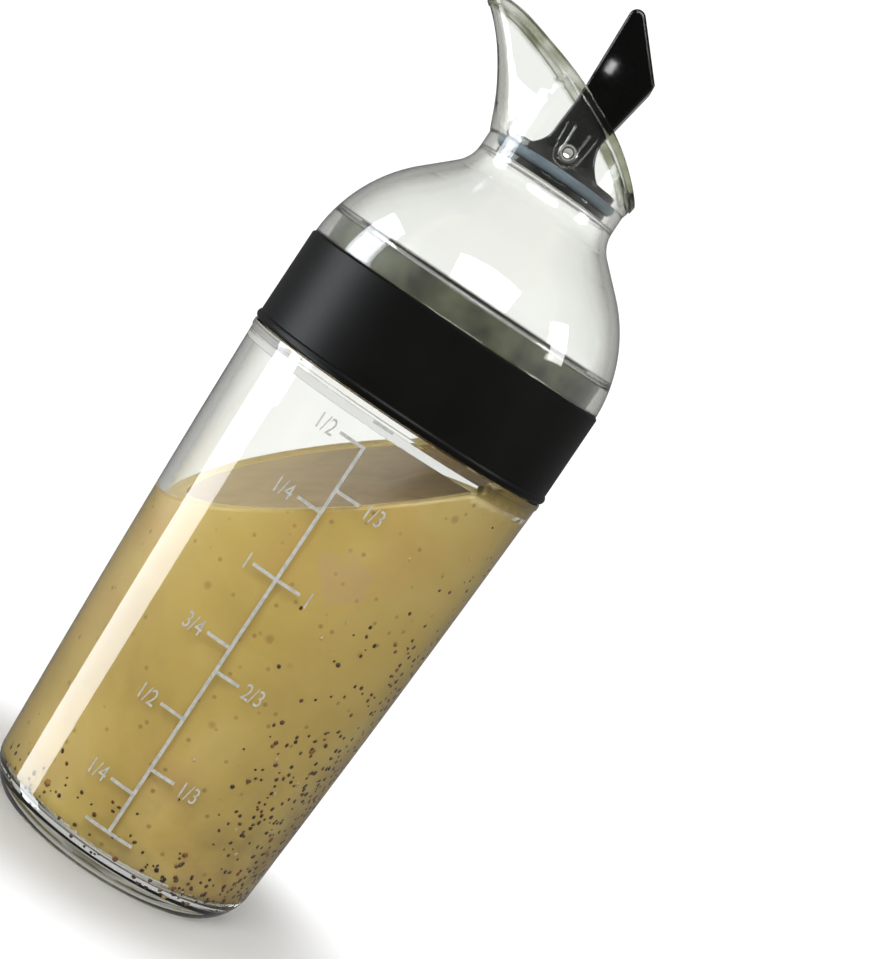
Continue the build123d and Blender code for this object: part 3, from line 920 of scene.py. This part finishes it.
def buildFloor():
    bm = bmesh.new()
    bmesh.ops.create_grid(bm, x_segments=2, y_segments=2, size=stage["floorSize"])
    mesh = bpy.data.meshes.new("studioFloor")
    bm.to_mesh(mesh)
    bm.free()
    floor = bpy.data.objects.new("studioFloor", mesh)
    bpy.context.scene.collection.objects.link(floor)
    material, tree = startMaterial("paleStudioPaper")
    place = addNode(tree, "ShaderNodeTexCoord").outputs["Object"]
    distance = addNode(tree, "ShaderNodeVectorMath", {0: place}, operation="LENGTH")
    fade = addNode(tree, "ShaderNodeMapRange", {
        "Value": distance.outputs["Value"], "From Min": stage["fadeFrom"], "From Max": stage["fadeTo"],
    }, interpolation_type="SMOOTHSTEP")
    paper = addNode(tree, "ShaderNodeBsdfDiffuse", {"Color": toLinear(stage["floorColour"])})
    seen, brightness = backdropRays(tree)
    white = addNode(tree, "ShaderNodeEmission", {
        "Color": toLinear(stage["backdrop"]), "Strength": brightness,
    })
    # through the clear foot the paper looks lit from below
    through = addNode(tree, "ShaderNodeMath", {
        0: addNode(tree, "ShaderNodeLightPath").outputs["Is Transmission Ray"], 1: stage["footLevel"],
    }, operation="MULTIPLY")
    bright = addNode(tree, "ShaderNodeMath", {
        0: fade.outputs["Result"], 1: through.outputs[0],
    }, operation="MAXIMUM")
    share = addNode(tree, "ShaderNodeMath", {0: seen, 1: bright.outputs[0]}, operation="MULTIPLY")
    mix = addNode(tree, "ShaderNodeMixShader", {
        0: share.outputs[0], 1: paper.outputs[0], 2: white.outputs[0],
    })
    endMaterial(tree, mix.outputs[0])
    mesh.materials.append(material)
    floor.visible_glossy = False    # highlights low on the bottle come from below the floor's level


def buildWorld():
    world = bpy.data.worlds.new("studio")
    bpy.context.scene.world = world
    world.use_nodes = True
    tree = world.node_tree
    tree.nodes.clear()
    seen, brightness = backdropRays(tree)
    direction = addNode(tree, "ShaderNodeTexCoord").outputs["Generated"]
    height = addNode(tree, "ShaderNodeSeparateXYZ", {"Vector": direction})
    overhead = addNode(tree, "ShaderNodeMapRange", {
        "Value": height.outputs["Z"], "From Min": 0.3, "From Max": 0.75,
        "To Min": 1.0, "To Max": stage["ceilingLevel"],
    }, interpolation_type="SMOOTHSTEP")
    behind = addNode(tree, "ShaderNodeMapRange", {
        "Value": height.outputs["Y"], "From Min": -0.95, "From Max": -0.6,
        "To Min": stage["behindLevel"], "To Max": 1.0,
    }, interpolation_type="SMOOTHSTEP")
    path = addNode(tree, "ShaderNodeLightPath")
    mirrored = addNode(tree, "ShaderNodeMath", {
        0: path.outputs["Glossy Depth"], 1: 1.0,
    }, operation="MINIMUM")
    ceiling = addNode(tree, "ShaderNodeMix", {
        "Factor": path.outputs["Is Camera Ray"], "A": overhead.outputs[0], "B": 1.0,
    })
    behindShare = addNode(tree, "ShaderNodeMix", {
        "Factor": mirrored.outputs[0], "A": 1.0, "B": behind.outputs[0],
    })
    walls = addNode(tree, "ShaderNodeMath", {
        0: ceiling.outputs[0], 1: behindShare.outputs[0],
    }, operation="MULTIPLY")
    room = addNode(tree, "ShaderNodeMath", {0: brightness, 1: walls.outputs[0]}, operation="MULTIPLY")
    level = addNode(tree, "ShaderNodeMix", {"Factor": seen, "A": stage["plainLevel"], "B": room.outputs[0]})
    light = addNode(tree, "ShaderNodeBackground", {
        "Color": toLinear(stage["backdrop"]), "Strength": level.outputs[0],
    })
    addNode(tree, "ShaderNodeOutputWorld", {"Surface": light.outputs[0]})


# softboxes that only show as highlights, and two lamps that only light
lamps = {
    "leftStrip": {
        "place": (-0.62, -0.04, 0.02), "size": (0.27, 1.1), "radiance": 8.5, "shows": True,
        "colour": "#F3F8FF",
    },
    "frontBox": {"place": (0.02, -0.52, 0.62), "size": (0.55, 0.22), "radiance": 12.0, "shows": True},
    "rightBox": {"place": (0.60, -0.15, 0.45), "size": (0.16, 0.26), "radiance": 12.0, "shows": True},
    "leverSpark": {
        "place": (-0.0223, -0.603, 0.2727), "size": (0.0035, 0.006), "radiance": 12.0, "shows": True,
    },
    "bodyLight": {"place": (-0.22, -0.85, 0.6), "size": (0.5, 0.5), "radiance": 5.2, "shows": False},
    "backLight": {"place": (0.4, 0.85, 0.6), "size": (0.5, 0.5), "radiance": 3.0, "shows": False},
}
lampAim = Vector((0, 0, 0.12))


def buildLamps():
    for name, lamp in lamps.items():
        width, height = lamp["size"]
        light = bpy.data.lights.new(name, "AREA")
        light.shape = "RECTANGLE"
        light.size = width
        light.size_y = height
        light.energy = lamp["radiance"] * math.pi * width * height
        light.color = toLinear(lamp.get("colour", "#FFFFFF"))[:3]
        holder = bpy.data.objects.new(name, light)
        holder.location = lamp["place"]
        aim = lampAim - holder.location
        holder.rotation_euler = aim.to_track_quat("-Z", "Y").to_euler()
        holder.visible_diffuse = not lamp["shows"]
        holder.visible_glossy = lamp["shows"]
        holder.visible_transmission = lamp["shows"]
        bpy.context.scene.collection.objects.link(holder)


cameraSet = {
    "azimuth": -0.2809,         # degrees round the bottle from the front
    "elevation": 4.2373,
    "roll": 33.8776,            # the bottle is held tilted, so the camera rolls
    "distance": 492.454 * mm,
    "aside": 15.4686 * mm,      # aim, to the right of the axis
    "aimHeight": 107.5966 * mm,
    "lens": 84.494,
    "sensor": 36.0,
}


def buildCamera():
    azimuth, elevation, roll = (math.radians(cameraSet[k]) for k in ("azimuth", "elevation", "roll"))
    aim = Vector((
        cameraSet["aside"] * math.cos(azimuth),
        cameraSet["aside"] * math.sin(azimuth),
        cameraSet["aimHeight"],
    ))
    forward = Vector((
        -math.sin(azimuth) * math.cos(elevation),
        math.cos(azimuth) * math.cos(elevation),
        -math.sin(elevation),
    ))
    level = forward.cross(Vector((0, 0, 1))).normalized()
    upright = level.cross(forward)
    right = level * math.cos(roll) + upright * math.sin(roll)
    up = upright * math.cos(roll) - level * math.sin(roll)
    data = bpy.data.cameras.new("photoCamera")
    data.lens = cameraSet["lens"]
    data.sensor_width = cameraSet["sensor"]
    holder = bpy.data.objects.new("photoCamera", data)
    turn = Matrix((right, up, -forward)).transposed()
    holder.matrix_world = Matrix.Translation(aim - forward * cameraSet["distance"]) @ turn.to_4x4()
    bpy.context.scene.collection.objects.link(holder)
    bpy.context.scene.camera = holder


buildFloor()
buildWorld()
buildLamps()
buildCamera()
bpy.context.scene.view_settings.view_transform = "Standard"
print("stage done")
